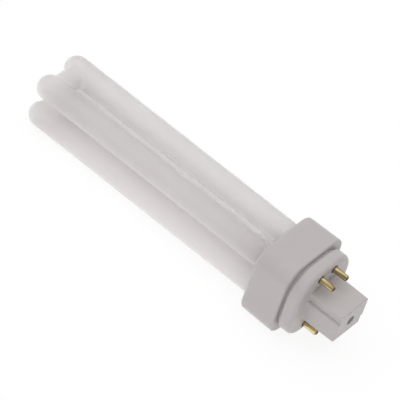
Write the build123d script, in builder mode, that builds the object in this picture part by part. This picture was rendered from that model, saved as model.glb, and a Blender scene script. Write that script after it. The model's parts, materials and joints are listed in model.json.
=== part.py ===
import os
from math import radians, tan

from build123d import *

os.makedirs("parts", exist_ok=True)

# Plug-in compact fluorescent lamp: two U-shaped tubes fused into one sealed bulb, on a four-pin cap.
# The lamp lies along X with the tube tips towards +X and Z up. The origin is on the lamp's axis at
# the seating plane, which is the end face of the cap's flange. All sizes are in millimetres.

# Whole lamp
overall_length = 146.0  # end of the key post to the tips of the tubes
post_length = 14.7  # seating plane to the end of the key post
tip_x = overall_length - post_length

# Bulb
tube_radius = 5.0
bend_gap = 5.5  # between the two limbs of one bend
pair_gap = 4.1  # between the two bends
bend_step = 0.6  # how much thinner the cross tube is that joins two limbs at the tips
saddle_depth = 2.5  # dip between the two domes of one bend
bend_fillet = 2.0
bridge_radius = 3.2  # low cross tube that joins the two bends into one bulb
bridge_height = 9.0  # its axis above the collar's front face
bridge_fillet = 0.9
pinch_width = 8.6
pinch_thickness = 2.6
pinch_taper_length = 3.4  # round limb to flat press
pinch_flat_length = 1.6
exhaust_radius = 1.6
exhaust_clearance = 1.1  # exhaust stub's end to the cap

# Collar that holds the tubes
collar_shoulder = 4.05  # tubes to the collar's side at its back edge
collar_length = 15.3
collar_corner = 7.5
collar_draft = 1.2  # degrees
collar_wall = 1.8
collar_front_wall = 2.0
collar_front_round = 1.5
collar_back_chamfer = 0.4
tube_hole_clearance = 0.25
lip_depth = 1.6  # inward lip at the collar's mouth that the cap snaps behind

# Cap: flange, snap neck and key post
flange_step = 1.3  # collar's side to the flange's
flange_thickness = 5.2
flange_corner = 10.5
flange_end_round = 1.6
flange_back_chamfer = 0.4
groove_width = 1.0  # shadow gap between flange and collar
groove_depth = 1.2  # flange edge to neck
neck_wall = 1.0
neck_fit_clearance = 0.1
bead_height = 0.4
bead_length = 1.0
neck_lead_in = 1.2  # plain end of the neck beyond the bead
post_width = 17.0  # along Y at the seating plane
post_height = 12.8  # along Z at the seating plane
post_corner = 0.9
post_draft = 0.6  # degrees
post_end_round = 0.5
post_root_round = 0.6
post_wall = 1.5
post_end_wall = 1.8
key_notch_width = 3.8  # along Z, cut along two opposite edges of the post
key_notch_depth = 1.1  # along Y
vent_radius = 2.0  # round hole in the end of the post

# Contact pins and their leads
pin_pitch = 8.0  # between the two pins of a pair
pin_row_spacing = 24.0  # between the two pairs
pin_margin = 3.5  # least from a pin's axis to the flange's side
pin_radius = 1.2
pin_length = 6.1  # from the seating plane
pin_tip_chamfer = 0.5
pin_tail = 0.4  # beyond the flange's inner face
pin_shank_step = 0.1  # how much thicker a pin is inside the flange
pin_press_gap = 0.02
pin_recess_width = 0.5  # ring sunk round the foot of each pin
pin_recess_depth = 0.5
wire_cup_depth = 3.0  # blind hole for the lead in a pin's inner end
solder_gap = 0.05
wire_radius = 0.3
wire_bend = 1.4
wire_spacing = 4.0  # between the two leads of one press
lead_room = 3.9  # pins' inner ends to the flat presses

# Cement that bonds the limbs into the collar
cement_thickness = 4.0
bond_gap = 0.05

# Places along the axis
collar_back = flange_thickness + groove_width
collar_front = collar_back + collar_length
front_wall_inside = collar_front - collar_front_wall
lip_inside = collar_back + lip_depth
bead_start = lip_inside + neck_fit_clearance
neck_end = bead_start + bead_length + neck_lead_in
pin_top = flange_thickness + pin_tail
wire_cup_end = pin_top - wire_cup_depth
press_end = pin_top + lead_room
press_start = press_end + pinch_flat_length
limb_foot = press_start + pinch_taper_length
lead_run = pin_top + lead_room / 2  # plane where the leads cross from press to pin

# Sizes that follow from the ones above
limb_y = tube_radius + bend_gap / 2
limb_z = tube_radius + pair_gap / 2
bend_radius = tube_radius - bend_step
width_for_tubes = 2 * (max(limb_y, limb_z) + tube_radius + collar_shoulder)
width_for_pins = pin_row_spacing + 2 * (pin_margin + flange_step)
collar_width = max(width_for_tubes, width_for_pins)  # across flats at its back edge
flange_width = collar_width - 2 * flange_step
neck_width = flange_width - 2 * groove_depth
neck_corner = flange_corner - groove_depth
lip_width = neck_width + 2 * neck_fit_clearance
lip_corner = neck_corner + neck_fit_clearance
cavity_corner = collar_corner - collar_wall
pin_shank_radius = pin_radius + pin_shank_step
edge_tolerance = 0.01


def cavity_width(x):
    drawn_in = (x - collar_back) * tan(radians(collar_draft))
    return collar_width - 2 * (collar_wall + drawn_in)


def facing_tips(x):
    return Plane.YZ.offset(x)


def facing_post(x):
    return Plane(origin=(x, 0, 0), x_dir=(0, 1, 0), z_dir=(-1, 0, 0))


def finish(piece, name):
    piece.part.label = name
    export_step(piece.part, f"parts/{name}.step")


# Bulb: four limbs with domed tips, a squared bend across each pair, one bridge and two flat presses
limb_places = [(y, z) for z in (limb_z, -limb_z) for y in (-limb_y, limb_y)]
dome_x = tip_x - tube_radius
bend_x = tip_x - saddle_depth - bend_radius
bridge_x = collar_front + bridge_height

with BuildPart() as discharge_tube:
    with BuildSketch(facing_tips(limb_foot)):
        with Locations(limb_places):
            Circle(tube_radius)
    extrude(amount=dome_x - limb_foot)
    with Locations([(dome_x, y, z) for y, z in limb_places]):
        Sphere(tube_radius)
    with BuildSketch(Plane.XZ):
        with Locations((bend_x, limb_z), (bend_x, -limb_z)):
            Circle(bend_radius)
    extrude(amount=limb_y, both=True)
    fillet(discharge_tube.edges(Select.NEW), bend_fillet)
    with BuildSketch(Plane.XY):
        with Locations((bridge_x, -limb_y)):
            Circle(bridge_radius)
    extrude(amount=limb_z, both=True)
    fillet(discharge_tube.edges(Select.NEW), bridge_fillet)
    # Feet of the bridged limbs are melted shut, and one keeps its exhaust stub
    with Locations([(limb_foot, -limb_y, z) for z in (limb_z, -limb_z)]):
        Sphere(tube_radius)
    with BuildSketch(facing_post(limb_foot)):
        with Locations((-limb_y, limb_z)):
            Circle(exhaust_radius)
    extrude(amount=limb_foot - flange_thickness - exhaust_clearance)
    # Feet of the other two limbs are pressed flat round the leads
    for z in (limb_z, -limb_z):
        with BuildSketch(facing_tips(limb_foot)):
            with Locations((limb_y, z)):
                Circle(tube_radius)
        with BuildSketch(facing_tips(press_start)) as press:
            with Locations((limb_y, z)):
                RectangleRounded(pinch_width, pinch_thickness, pinch_thickness / 3)
        loft()
        extrude(press.sketch, amount=-pinch_flat_length)

# Collar: drafted cup with four tube holes in its front wall and a lip round its mouth
with BuildPart() as tube_collar:
    with BuildSketch(facing_tips(collar_back)):
        RectangleRounded(collar_width, collar_width, collar_corner)
    extrude(amount=collar_length, taper=collar_draft)
    fillet(tube_collar.edges().group_by(Axis.X)[-1], collar_front_round)
    chamfer(tube_collar.edges().group_by(Axis.X)[0], collar_back_chamfer)
    with BuildSketch(facing_tips(lip_inside)):
        RectangleRounded(cavity_width(lip_inside), cavity_width(lip_inside), cavity_corner)
    extrude(amount=front_wall_inside - lip_inside, taper=collar_draft, mode=Mode.SUBTRACT)
    with BuildSketch(facing_tips(collar_back)):
        RectangleRounded(lip_width, lip_width, lip_corner)
    extrude(amount=lip_depth, mode=Mode.SUBTRACT)
    with BuildSketch(facing_tips(front_wall_inside)):
        with Locations(limb_places):
            Circle(tube_radius + tube_hole_clearance)
    extrude(amount=collar_front_wall, mode=Mode.SUBTRACT)

# Cement: a pad behind the collar's front wall, bonded to the limbs and the side walls
cement_back = front_wall_inside - cement_thickness
cement_width = cavity_width(cement_back) - 2 * bond_gap

with BuildPart() as tube_cement:
    with BuildSketch(facing_tips(cement_back)):
        RectangleRounded(cement_width, cement_width, cavity_corner - bond_gap)
    extrude(amount=cement_thickness, taper=collar_draft)
    with BuildSketch(facing_tips(cement_back)):
        with Locations(limb_places):
            Circle(tube_radius + bond_gap)
    extrude(amount=cement_thickness, mode=Mode.SUBTRACT)

# Cap: flange, notched key post, snap neck with its bead, hollow and vent hole in the post, recessed pin holes
bead_width = neck_width + 2 * bead_height
neck_inside = neck_width - 2 * neck_wall
post_hollow_depth = flange_thickness + post_length - post_end_wall
post_hollow_width = post_width - 2 * (post_wall + key_notch_depth)
post_hollow_height = post_height - 2 * post_wall
key_notch_y = post_width / 2
key_notch_z = post_height / 2

with BuildPart() as base_cap:
    with BuildSketch(facing_tips(0)):
        RectangleRounded(flange_width, flange_width, flange_corner)
    extrude(amount=flange_thickness)
    fillet(base_cap.edges().group_by(Axis.X)[0], flange_end_round)
    chamfer(base_cap.edges().group_by(Axis.X)[-1], flange_back_chamfer)
    with BuildSketch(facing_post(0)):
        RectangleRounded(post_width, post_height, post_corner)
    extrude(amount=post_length, taper=post_draft)
    with BuildSketch(facing_post(0)):
        with Locations((key_notch_y, -key_notch_z), (-key_notch_y, key_notch_z)):
            Rectangle(2 * key_notch_depth, 2 * key_notch_width)
    extrude(amount=post_length, mode=Mode.SUBTRACT)
    seat_edges = base_cap.edges().filter_by_position(Axis.X, -edge_tolerance, edge_tolerance)
    root_edges = seat_edges.filter_by_position(Axis.Z, -post_height / 2, post_height / 2).filter_by_position(
        Axis.Y, -post_width / 2, post_width / 2
    )
    fillet(root_edges, post_root_round)
    fillet(base_cap.edges().group_by(Axis.X)[0], post_end_round)
    with BuildSketch(facing_tips(flange_thickness)):
        RectangleRounded(neck_width, neck_width, neck_corner)
    extrude(amount=neck_end - flange_thickness)
    with BuildSketch(facing_tips(bead_start)):
        RectangleRounded(bead_width, bead_width, neck_corner + bead_height)
    extrude(amount=bead_length)
    with BuildSketch(facing_tips(flange_thickness)):
        RectangleRounded(neck_inside, neck_inside, neck_corner - neck_wall)
    extrude(amount=neck_end - flange_thickness, mode=Mode.SUBTRACT)
    with BuildSketch(facing_post(flange_thickness)):
        RectangleRounded(post_hollow_width, post_hollow_height, post_corner)
    extrude(amount=post_hollow_depth, taper=post_draft, mode=Mode.SUBTRACT)
    with BuildSketch(facing_post(-post_length)):
        Circle(vent_radius)
    extrude(amount=-post_end_wall, mode=Mode.SUBTRACT)
    with BuildSketch(facing_tips(0)):
        with GridLocations(pin_pitch, pin_row_spacing, 2, 2):
            Circle(pin_shank_radius + pin_press_gap)
    extrude(amount=flange_thickness, mode=Mode.SUBTRACT)
    with BuildSketch(facing_tips(0)):
        with GridLocations(pin_pitch, pin_row_spacing, 2, 2):
            Circle(pin_shank_radius + pin_recess_width)
    extrude(amount=pin_recess_depth, mode=Mode.SUBTRACT)


# Contact pin: bevelled tip, thicker shank pressed into the flange, and a cup for its lead at the inner end
def make_pin(y, z):
    with BuildPart() as pin:
        with BuildSketch(facing_post(pin_top)):
            with Locations((y, -z)):
                Circle(pin_shank_radius)
        extrude(amount=pin_top)
        with BuildSketch(facing_post(0)):
            with Locations((y, -z)):
                Circle(pin_radius)
        extrude(amount=pin_length)
        chamfer(pin.edges().group_by(Axis.X)[0], pin_tip_chamfer)
        with BuildSketch(facing_post(pin_top)):
            with Locations((y, -z)):
                Circle(wire_radius + solder_gap)
        extrude(amount=wire_cup_depth, mode=Mode.SUBTRACT)
    return pin


# Lead: a wire from the flat press of a limb across to its pin and down into the pin's cup
def make_lead(press_y, press_z, pin_y, pin_z):
    corners = (
        (press_end, press_y, press_z),
        (lead_run, press_y, press_z),
        (lead_run, pin_y, pin_z),
        (wire_cup_end, pin_y, pin_z),
    )
    with BuildPart() as lead:
        with BuildLine() as route:
            FilletPolyline(*corners, radius=wire_bend)
        with BuildSketch(route.line ^ 0):
            Circle(wire_radius)
        sweep()
    return lead


finish(discharge_tube, "discharge_tube")
finish(tube_collar, "tube_collar")
finish(tube_cement, "tube_cement")
finish(base_cap, "base_cap")

number = 0
for row in (1, -1):
    for side in (1, -1):
        number += 1
        pin_y = side * pin_pitch / 2
        pin_z = row * pin_row_spacing / 2
        press_y = limb_y + side * wire_spacing / 2
        finish(make_pin(pin_y, pin_z), f"contact_pin_{number}")
        finish(make_lead(press_y, row * limb_z, pin_y, pin_z), f"lead_wire_{number}")
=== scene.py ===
import json
from math import atan2, degrees, pi, radians

import bpy
from mathutils import Matrix, Vector


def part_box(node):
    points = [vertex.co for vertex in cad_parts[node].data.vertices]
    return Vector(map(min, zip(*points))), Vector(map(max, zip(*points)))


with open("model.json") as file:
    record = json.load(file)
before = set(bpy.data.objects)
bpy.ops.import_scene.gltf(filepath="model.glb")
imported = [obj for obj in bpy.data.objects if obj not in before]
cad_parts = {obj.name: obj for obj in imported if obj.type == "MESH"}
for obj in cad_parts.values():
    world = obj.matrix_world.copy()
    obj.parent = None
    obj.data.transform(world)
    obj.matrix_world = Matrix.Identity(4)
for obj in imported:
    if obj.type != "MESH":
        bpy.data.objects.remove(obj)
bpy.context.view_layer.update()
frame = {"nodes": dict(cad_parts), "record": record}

nodes = frame["nodes"]
scene = bpy.context.scene
scene.view_settings.view_transform = "Standard"
mm = 0.001
mixFirst, mixSecond, mixResult = 6, 7, 2  # a Mix node's colour sockets, which share names with others
waveTurn = 20.0  # radians that a Wave texture goes through in one unit
print("frame loaded:", len(nodes), "nodes")


def toLinear(hexColour):
    channels = [int(hexColour[i:i + 2], 16) / 255 for i in (1, 3, 5)]
    linear = [c / 12.92 if c <= 0.04045 else ((c + 0.055) / 1.055) ** 2.4 for c in channels]
    return (*linear, 1.0)


def addNode(tree, kind, settings=None, links=None):
    node = tree.nodes.new(kind)
    for name, value in (settings or {}).items():
        if isinstance(name, str) and hasattr(node, name):
            setattr(node, name, value)
        else:
            node.inputs[name].default_value = value
    for name, source in (links or {}).items():
        tree.links.new(source, node.inputs[name])
    return node


def newMaterial(name):
    material = bpy.data.materials.new(name)
    material.use_nodes = True
    material.node_tree.nodes.clear()
    return material, material.node_tree


def perMetre(sizeMm):
    return 1 / (sizeMm * mm)  # pattern scale that repeats once in a real size


# Drawn soda-lime tube with a phosphor coat inside: a chalky white body seen through a clear, glossy skin.
# The coat is a little uneven, the bends are painted greyer as shade, and the limbs have faint draw lines.
phosphorGlass = {
    "coatThick": "#f4f0ef",
    "coatThin": "#efebe9",
    # painted shade that greys the bends
    "paintedBendShade": "#dcd7d4",
    "bendMm": (106.0, 126.0),  # along the axis, from limb to bend
    "mottleMm": 7.0,
    "mottleDetail": 3.0,
    "glowLimb": 0.95,  # share of the light that goes through the coat
    "glowBend": 0.85,
    "glowMm": 150.0,  # the tube is hollow and milky, so light crosses it from side to side
    "bodyRoughness": 0.6,
    "bodyShine": 0.1,  # the shine is on the clear skin instead
    "glassRoughness": 0.06,
    "glassIor": 1.52,
    "glassTint": "#fffdfd",
    "drawLineMm": 1.6,
    "drawLineLength": 40.0,  # how many times longer than wide
    "drawLineDetail": 2.0,
    "drawLineDepthMm": 0.006,
    "drawLineStrength": 0.35,
}


def makePhosphorGlass(look):
    material, tree = newMaterial("phosphorCoatedGlass")
    place = addNode(tree, "ShaderNodeTexCoord").outputs["Object"]
    mottle = addNode(tree, "ShaderNodeTexNoise", {
        "Scale": perMetre(look["mottleMm"]), "Detail": look["mottleDetail"]}, {"Vector": place})
    coat = addNode(tree, "ShaderNodeMix", {
        "data_type": "RGBA", mixFirst: toLinear(look["coatThin"]), mixSecond: toLinear(look["coatThick"]),
    }, {"Factor": mottle.outputs["Fac"]})
    axis = addNode(tree, "ShaderNodeSeparateXYZ", links={"Vector": place})
    limbEnd, bendStart = look["bendMm"]
    bend = addNode(tree, "ShaderNodeMapRange", {
        "interpolation_type": "SMOOTHSTEP", "From Min": limbEnd * mm, "From Max": bendStart * mm,
    }, {"Value": axis.outputs["X"]})
    # painted shade: the coat turns greyer towards the bends
    colour = addNode(tree, "ShaderNodeMix", {"data_type": "RGBA", mixSecond: toLinear(look["paintedBendShade"])},
                     {"Factor": bend.outputs["Result"], mixFirst: coat.outputs[mixResult]})
    through = addNode(tree, "ShaderNodeMapRange", {"To Min": look["glowLimb"], "To Max": look["glowBend"]},
                      {"Value": bend.outputs["Result"]})
    alongTube = addNode(tree, "ShaderNodeMapping", {"Scale": (1 / look["drawLineLength"], 1, 1)},
                        {"Vector": place})
    drawLines = addNode(tree, "ShaderNodeTexNoise", {
        "Scale": perMetre(look["drawLineMm"]), "Detail": look["drawLineDetail"],
    }, {"Vector": alongTube.outputs["Vector"]})
    bump = addNode(tree, "ShaderNodeBump", {
        "Strength": look["drawLineStrength"], "Distance": look["drawLineDepthMm"] * mm,
    }, {"Height": drawLines.outputs["Fac"]})
    shader = addNode(tree, "ShaderNodeBsdfPrincipled", {
        "Roughness": look["bodyRoughness"], "Specular IOR Level": look["bodyShine"],
        "IOR": look["glassIor"],
        "Subsurface Radius": (1.0, 1.0, 1.0), "Subsurface Scale": look["glowMm"] * mm,
        "Coat Weight": 1.0, "Coat Roughness": look["glassRoughness"], "Coat IOR": look["glassIor"],
        "Coat Tint": toLinear(look["glassTint"]),
    }, {"Base Color": colour.outputs[mixResult], "Subsurface Weight": through.outputs["Result"],
        "Coat Normal": bump.outputs["Normal"]})
    addNode(tree, "ShaderNodeOutputMaterial", links={"Surface": shader.outputs["BSDF"]})
    return material


# Injection-moulded PBT: an off-white satin surface with the grain of a spark-eroded mould.
# The real grain is finer, and is drawn coarse enough to show.
mouldedPbt = {
    "light": "#d8d2d1",
    "dark": "#d0c9c8",
    "cloudMm": 11.0,
    "cloudDetail": 4.0,
    "grainMm": 0.35,
    "grainDetail": 2.0,
    "grainDepthMm": 0.012,
    "grainStrength": 0.5,
    "roughnessLow": 0.38,
    "roughnessHigh": 0.5,
    "ior": 1.55,
}


def makeMouldedPbt(look):
    material, tree = newMaterial("mouldedPbt")
    place = addNode(tree, "ShaderNodeTexCoord").outputs["Object"]
    clouds = addNode(tree, "ShaderNodeTexNoise", {
        "Scale": perMetre(look["cloudMm"]), "Detail": look["cloudDetail"]}, {"Vector": place})
    colour = addNode(tree, "ShaderNodeMix", {
        "data_type": "RGBA", mixFirst: toLinear(look["dark"]), mixSecond: toLinear(look["light"]),
    }, {"Factor": clouds.outputs["Fac"]})
    sheen = addNode(tree, "ShaderNodeMapRange", {
        "To Min": look["roughnessLow"], "To Max": look["roughnessHigh"]}, {"Value": clouds.outputs["Fac"]})
    grain = addNode(tree, "ShaderNodeTexNoise", {
        "Scale": perMetre(look["grainMm"]), "Detail": look["grainDetail"]}, {"Vector": place})
    bump = addNode(tree, "ShaderNodeBump", {
        "Strength": look["grainStrength"], "Distance": look["grainDepthMm"] * mm,
    }, {"Height": grain.outputs["Fac"]})
    shader = addNode(tree, "ShaderNodeBsdfPrincipled", {"IOR": look["ior"]}, {
        "Base Color": colour.outputs[mixResult], "Roughness": sheen.outputs["Result"],
        "Normal": bump.outputs["Normal"]})
    addNode(tree, "ShaderNodeOutputMaterial", links={"Surface": shader.outputs["BSDF"]})
    return material


# Drawn brass, turned at the tip: a bright yellow metal with fine rings round it.
# Dark streaks along it are painted reflections, and its dark tip and foot are painted shade.
# Streaks and rings are drawn coarse enough to show.
turnedBrass = {
    "bright": "#ead69e",
    "paintedDark": "#4a3c28",
    "streakMm": 0.8,
    "streakLength": 25.0,  # how many times longer than wide
    "streakDetail": 1.0,
    "streakRange": (0.4, 0.6),  # of the noise, from bright to darkest
    "streakShare": 0.8,  # of painted dark in the darkest streaks, which are painted reflections
    "ends": {  # along the axis in mm, where the painted shade is darkest and where it is bright, and its share
        "tip": (-6.1, -5.4, 1.0),
        "foot": (0.1, -0.8, 0.8),
    },
    "brightRoughness": 0.22,
    "darkRoughness": 0.42,
    "ringMm": 0.592,
    "ringWobble": 1.0,
    "ringDepthMm": 0.008,
    "ringStrength": 0.4,
}


def makeTurnedBrass(look):
    material, tree = newMaterial("turnedBrass")
    place = addNode(tree, "ShaderNodeTexCoord").outputs["Object"]
    axis = addNode(tree, "ShaderNodeSeparateXYZ", links={"Vector": place})
    alongPin = addNode(tree, "ShaderNodeMapping", {"Scale": (1 / look["streakLength"], 1, 1)},
                       {"Vector": place})
    # painted reflections: dark streaks along the pin
    streaks = addNode(tree, "ShaderNodeTexNoise", {
        "Scale": perMetre(look["streakMm"]), "Detail": look["streakDetail"],
    }, {"Vector": alongPin.outputs["Vector"]})
    brightFrom, darkFrom = look["streakRange"]
    paintedDarkShare = addNode(tree, "ShaderNodeMapRange", {
        "From Min": brightFrom, "From Max": darkFrom, "To Max": look["streakShare"],
    }, {"Value": streaks.outputs["Fac"]}).outputs["Result"]
    # painted shade at the tip and at the foot, where the pin meets the cap
    for darkest, bright, share in look["ends"].values():
        end = addNode(tree, "ShaderNodeMapRange", {
            "interpolation_type": "SMOOTHSTEP", "From Min": darkest * mm, "From Max": bright * mm,
            "To Min": share, "To Max": 0.0,
        }, {"Value": axis.outputs["X"]})
        darker = addNode(tree, "ShaderNodeMath", {"operation": "MAXIMUM"},
                         {0: paintedDarkShare, 1: end.outputs["Result"]})
        paintedDarkShare = darker.outputs["Value"]
    # the painted dark: reflections in the streaks, and shade at the tip and foot
    colour = addNode(tree, "ShaderNodeMix", {
        "data_type": "RGBA", mixFirst: toLinear(look["bright"]), mixSecond: toLinear(look["paintedDark"]),
    }, {"Factor": paintedDarkShare})
    dullness = addNode(tree, "ShaderNodeMapRange", {
        "To Min": look["brightRoughness"], "To Max": look["darkRoughness"]}, {"Value": paintedDarkShare})
    rings = addNode(tree, "ShaderNodeTexWave", {
        "bands_direction": "X", "Scale": perMetre(look["ringMm"]) * 2 * pi / waveTurn,
        "Distortion": look["ringWobble"],
    }, {"Vector": place})
    bump = addNode(tree, "ShaderNodeBump", {
        "Strength": look["ringStrength"], "Distance": look["ringDepthMm"] * mm,
    }, {"Height": rings.outputs["Fac"]})
    shader = addNode(tree, "ShaderNodeBsdfPrincipled", {"Metallic": 1.0}, {
        "Base Color": colour.outputs[mixResult], "Roughness": dullness.outputs["Result"],
        "Normal": bump.outputs["Normal"]})
    addNode(tree, "ShaderNodeOutputMaterial", links={"Surface": shader.outputs["BSDF"]})
    return material


# Drawn nickel-iron wire: a dull grey metal with streaks along it, drawn coarse enough to show.
drawnNickelIron = {
    "light": "#b0aaa2",
    "dark": "#8c867e",
    "streakMm": 0.2,
    "streakLength": 15.0,  # how many times longer than wide
    "streakDetail": 2.0,
    "roughnessLow": 0.32,
    "roughnessHigh": 0.45,
}


def makeDrawnNickelIron(look):
    material, tree = newMaterial("drawnNickelIron")
    place = addNode(tree, "ShaderNodeTexCoord").outputs["Object"]
    alongWire = addNode(tree, "ShaderNodeMapping", {"Scale": (1 / look["streakLength"], 1, 1)},
                        {"Vector": place})
    streaks = addNode(tree, "ShaderNodeTexNoise", {
        "Scale": perMetre(look["streakMm"]), "Detail": look["streakDetail"],
    }, {"Vector": alongWire.outputs["Vector"]})
    colour = addNode(tree, "ShaderNodeMix", {
        "data_type": "RGBA", mixFirst: toLinear(look["dark"]), mixSecond: toLinear(look["light"]),
    }, {"Factor": streaks.outputs["Fac"]})
    sheen = addNode(tree, "ShaderNodeMapRange", {
        "To Min": look["roughnessHigh"], "To Max": look["roughnessLow"]}, {"Value": streaks.outputs["Fac"]})
    shader = addNode(tree, "ShaderNodeBsdfPrincipled", {"Metallic": 1.0}, {
        "Base Color": colour.outputs[mixResult], "Roughness": sheen.outputs["Result"]})
    addNode(tree, "ShaderNodeOutputMaterial", links={"Surface": shader.outputs["BSDF"]})
    return material


# Cured lamp cement: a matt, sandy buff solid with fine pores.
curedCement = {
    "light": "#ddd6c8",
    "dark": "#bfb6a5",
    "sandMm": 0.5,
    "sandDetail": 5.0,
    "poreDepthMm": 0.08,
    "poreStrength": 0.7,
    "roughness": 0.9,
}


def makeCuredCement(look):
    material, tree = newMaterial("curedCement")
    place = addNode(tree, "ShaderNodeTexCoord").outputs["Object"]
    sand = addNode(tree, "ShaderNodeTexNoise", {
        "Scale": perMetre(look["sandMm"]), "Detail": look["sandDetail"]}, {"Vector": place})
    colour = addNode(tree, "ShaderNodeMix", {
        "data_type": "RGBA", mixFirst: toLinear(look["dark"]), mixSecond: toLinear(look["light"]),
    }, {"Factor": sand.outputs["Fac"]})
    bump = addNode(tree, "ShaderNodeBump", {
        "Strength": look["poreStrength"], "Distance": look["poreDepthMm"] * mm,
    }, {"Height": sand.outputs["Fac"]})
    shader = addNode(tree, "ShaderNodeBsdfPrincipled", {"Roughness": look["roughness"]}, {
        "Base Color": colour.outputs[mixResult], "Normal": bump.outputs["Normal"]})
    addNode(tree, "ShaderNodeOutputMaterial", links={"Surface": shader.outputs["BSDF"]})
    return material


finishes = {
    "phosphor_glass": makePhosphorGlass(phosphorGlass),
    "white_plastic": makeMouldedPbt(mouldedPbt),
    "brass": makeTurnedBrass(turnedBrass),
    "lead_wire": makeDrawnNickelIron(drawnNickelIron),
    "cement": makeCuredCement(curedCement),
}
for subpart in frame["record"]["subparts"]:
    for slot in nodes[subpart["node"]].material_slots:
        slot.material = finishes[subpart["material_slot"]]
print("finishes on:", ", ".join(sorted(finishes)))


# 1 where the camera, a reflection or clear glass looks, and 0 where light goes to the lamp.
def seenWhite(tree):
    rays = addNode(tree, "ShaderNodeLightPath").outputs
    seen = rays["Is Camera Ray"]
    for kind in ("Is Glossy Ray", "Is Transmission Ray"):
        either = addNode(tree, "ShaderNodeMath", {"operation": "MAXIMUM"}, {0: seen, 1: rays[kind]})
        seen = either.outputs["Value"]
    return seen


# Floor: the lamp rests on the collar's lower front edge and on the tips of its lower tubes,
# so the floor leans a little in the lamp's own frame.
floorLook = {
    "size": 6.0,
    "colour": "#f2f2f2",
    "glow": 0.339,  # light that the lit paper sends back, which fills the undersides
    "whiteShare": 0.8,  # plain white where it is seen, and the rest keeps the shadow
    "belowMm": 0.1,  # room under the lamp
    "tipBandMm": 0.01,  # this near the lowest point is the underside of the tubes
    "edgeBandMm": 0.6,  # this near the lowest point is the collar's rounded edge
}


def lowPoints(name, lowest, bandMm):
    return [v.co for v in nodes[name].data.vertices if v.co.z < lowest + bandMm * mm]


def makeFloor(look):
    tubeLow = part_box("discharge_tube")[0].z
    collarLow = min(v.co.z for v in nodes["tube_collar"].data.vertices)
    tipFoot = max(lowPoints("discharge_tube", tubeLow, look["tipBandMm"]), key=lambda p: p.x)
    frontFoot = max(lowPoints("tube_collar", collarLow, look["edgeBandMm"]),
                    key=lambda p: (tipFoot.z - p.z) / (tipFoot.x - p.x))
    lean = atan2(tipFoot.z - frontFoot.z, tipFoot.x - frontFoot.x)
    bpy.ops.object.select_all(action="DESELECT")
    bpy.ops.mesh.primitive_plane_add(size=look["size"])
    floor = bpy.context.object
    floor.name = "studioFloor"
    floor.rotation_euler = (0, -lean, 0)
    floor.location = (frontFoot.x, 0, frontFoot.z - look["belowMm"] * mm)
    material, tree = newMaterial("palePaperFloor")
    share = addNode(tree, "ShaderNodeMath", {"operation": "MULTIPLY", 1: look["whiteShare"]},
                    {0: seenWhite(tree)})
    paper = addNode(tree, "ShaderNodeBsdfDiffuse", {"Color": toLinear(look["colour"])})
    glow = addNode(tree, "ShaderNodeEmission", {"Strength": look["glow"]})
    litPaper = addNode(tree, "ShaderNodeAddShader",
                       links={0: paper.outputs["BSDF"], 1: glow.outputs["Emission"]})
    white = addNode(tree, "ShaderNodeEmission", {"Strength": 1.0})
    mix = addNode(tree, "ShaderNodeMixShader", links={
        0: share.outputs["Value"], 1: litPaper.outputs["Shader"], 2: white.outputs["Emission"]})
    addNode(tree, "ShaderNodeOutputMaterial", links={"Surface": mix.outputs["Shader"]})
    floor.data.materials.append(material)
    print("floor leans", round(degrees(lean), 2), "degrees")


makeFloor(floorLook)

aim = Vector((56.3 * mm, 0, 0))  # near the lamp's middle, where light and camera point


# Light: a soft tent, brightest overhead and dark towards the floor.
lightTent = {
    "colour": "#ffffff",
    "brightWay": (0.1, 0.05, 0.99),  # direction of its brightest part
    "bright": 1.418,
    "falloff": 2.0,  # how fast it dims away from there
}


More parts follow.
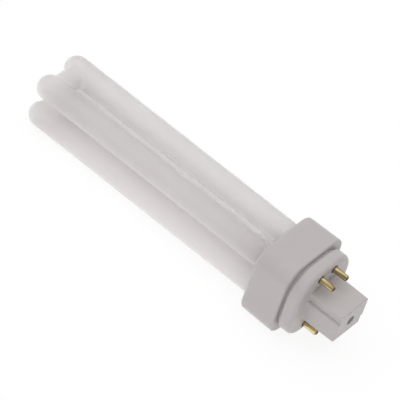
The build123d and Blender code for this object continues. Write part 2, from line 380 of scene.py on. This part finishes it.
def makeLightTent(look):
    world = bpy.data.worlds.new("lightTent")
    scene.world = world
    world.use_nodes = True
    tree = world.node_tree
    tree.nodes.clear()
    towards = addNode(tree, "ShaderNodeTexCoord").outputs["Generated"]
    nearness = addNode(tree, "ShaderNodeVectorMath", {"operation": "DOT_PRODUCT", 1: look["brightWay"]},
                       {0: towards})
    above = addNode(tree, "ShaderNodeMath", {"operation": "MAXIMUM", 1: 0.0},
                    {0: nearness.outputs["Value"]})
    fade = addNode(tree, "ShaderNodeMath", {"operation": "POWER", 1: look["falloff"]},
                   {0: above.outputs["Value"]})
    strength = addNode(tree, "ShaderNodeMath", {"operation": "MULTIPLY", 1: look["bright"]},
                       {0: fade.outputs["Value"]})
    tent = addNode(tree, "ShaderNodeBackground", {"Color": toLinear(look["colour"])},
                   {"Strength": strength.outputs["Value"]})
    white = addNode(tree, "ShaderNodeBackground", {"Strength": 1.0})
    mix = addNode(tree, "ShaderNodeMixShader", links={
        0: seenWhite(tree), 1: tent.outputs["Background"], 2: white.outputs["Background"]})
    addNode(tree, "ShaderNodeOutputWorld", links={"Surface": mix.outputs["Shader"]})
    print("light tent fades by the power", look["falloff"])


makeLightTent(lightTent)

# A broad, weak soft box is the tent's roof.
roofBox = {
    "away": (0.3, 0.3, 1.5),  # from the aim point
    "size": 2.4,
    "watts": 1.65,
}


def makeRoofBox(look):
    lamp = bpy.data.lights.new("roofBox", "AREA")
    lamp.shape = "SQUARE"
    lamp.size = look["size"]
    lamp.energy = look["watts"]
    holder = bpy.data.objects.new("roofBox", lamp)
    scene.collection.objects.link(holder)
    away = Vector(look["away"])
    holder.location = aim + away
    holder.rotation_euler = away.to_track_quat("Z", "Y").to_euler()
    print("roof box of", look["watts"], "watts")


makeRoofBox(roofBox)


# Camera: a long lens from behind the cap, with the tubes running away to the upper left.
photoCamera = {
    "heading": 205.2518,  # degrees about the upright axis
    "tilt": 44.6642,  # degrees up from looking straight down
    "roll": 19.6755,
    "distance": 2.1177,
    "pixelsPerMm": 2.7507,  # at the aim point
    "aimPixel": (202.599, 204.0),  # where the aim point is in the picture
    "pictureSide": 400,
    "sensorMm": 36.0,
    "farthest": 20.0,
}


def makePhotoCamera(look):
    turn = (Matrix.Rotation(radians(look["heading"]), 4, "Z")
            @ Matrix.Rotation(radians(look["tilt"]), 4, "X")
            @ Matrix.Rotation(radians(look["roll"]), 4, "Z"))
    perPixel = mm / look["pixelsPerMm"]
    centre = look["pictureSide"] / 2
    across, down = look["aimPixel"]
    offset = Vector(((centre - across) * perPixel, (down - centre) * perPixel, look["distance"]))
    lens = bpy.data.cameras.new("photoCamera")
    lens.sensor_width = look["sensorMm"]
    lens.lens = look["sensorMm"] * look["distance"] / (look["pictureSide"] * perPixel)
    lens.clip_end = look["farthest"]
    camera = bpy.data.objects.new("photoCamera", lens)
    scene.collection.objects.link(camera)
    camera.matrix_world = Matrix.Translation(aim) @ turn @ Matrix.Translation(offset)
    scene.camera = camera
    print("camera lens", round(lens.lens, 1))


makePhotoCamera(photoCamera)
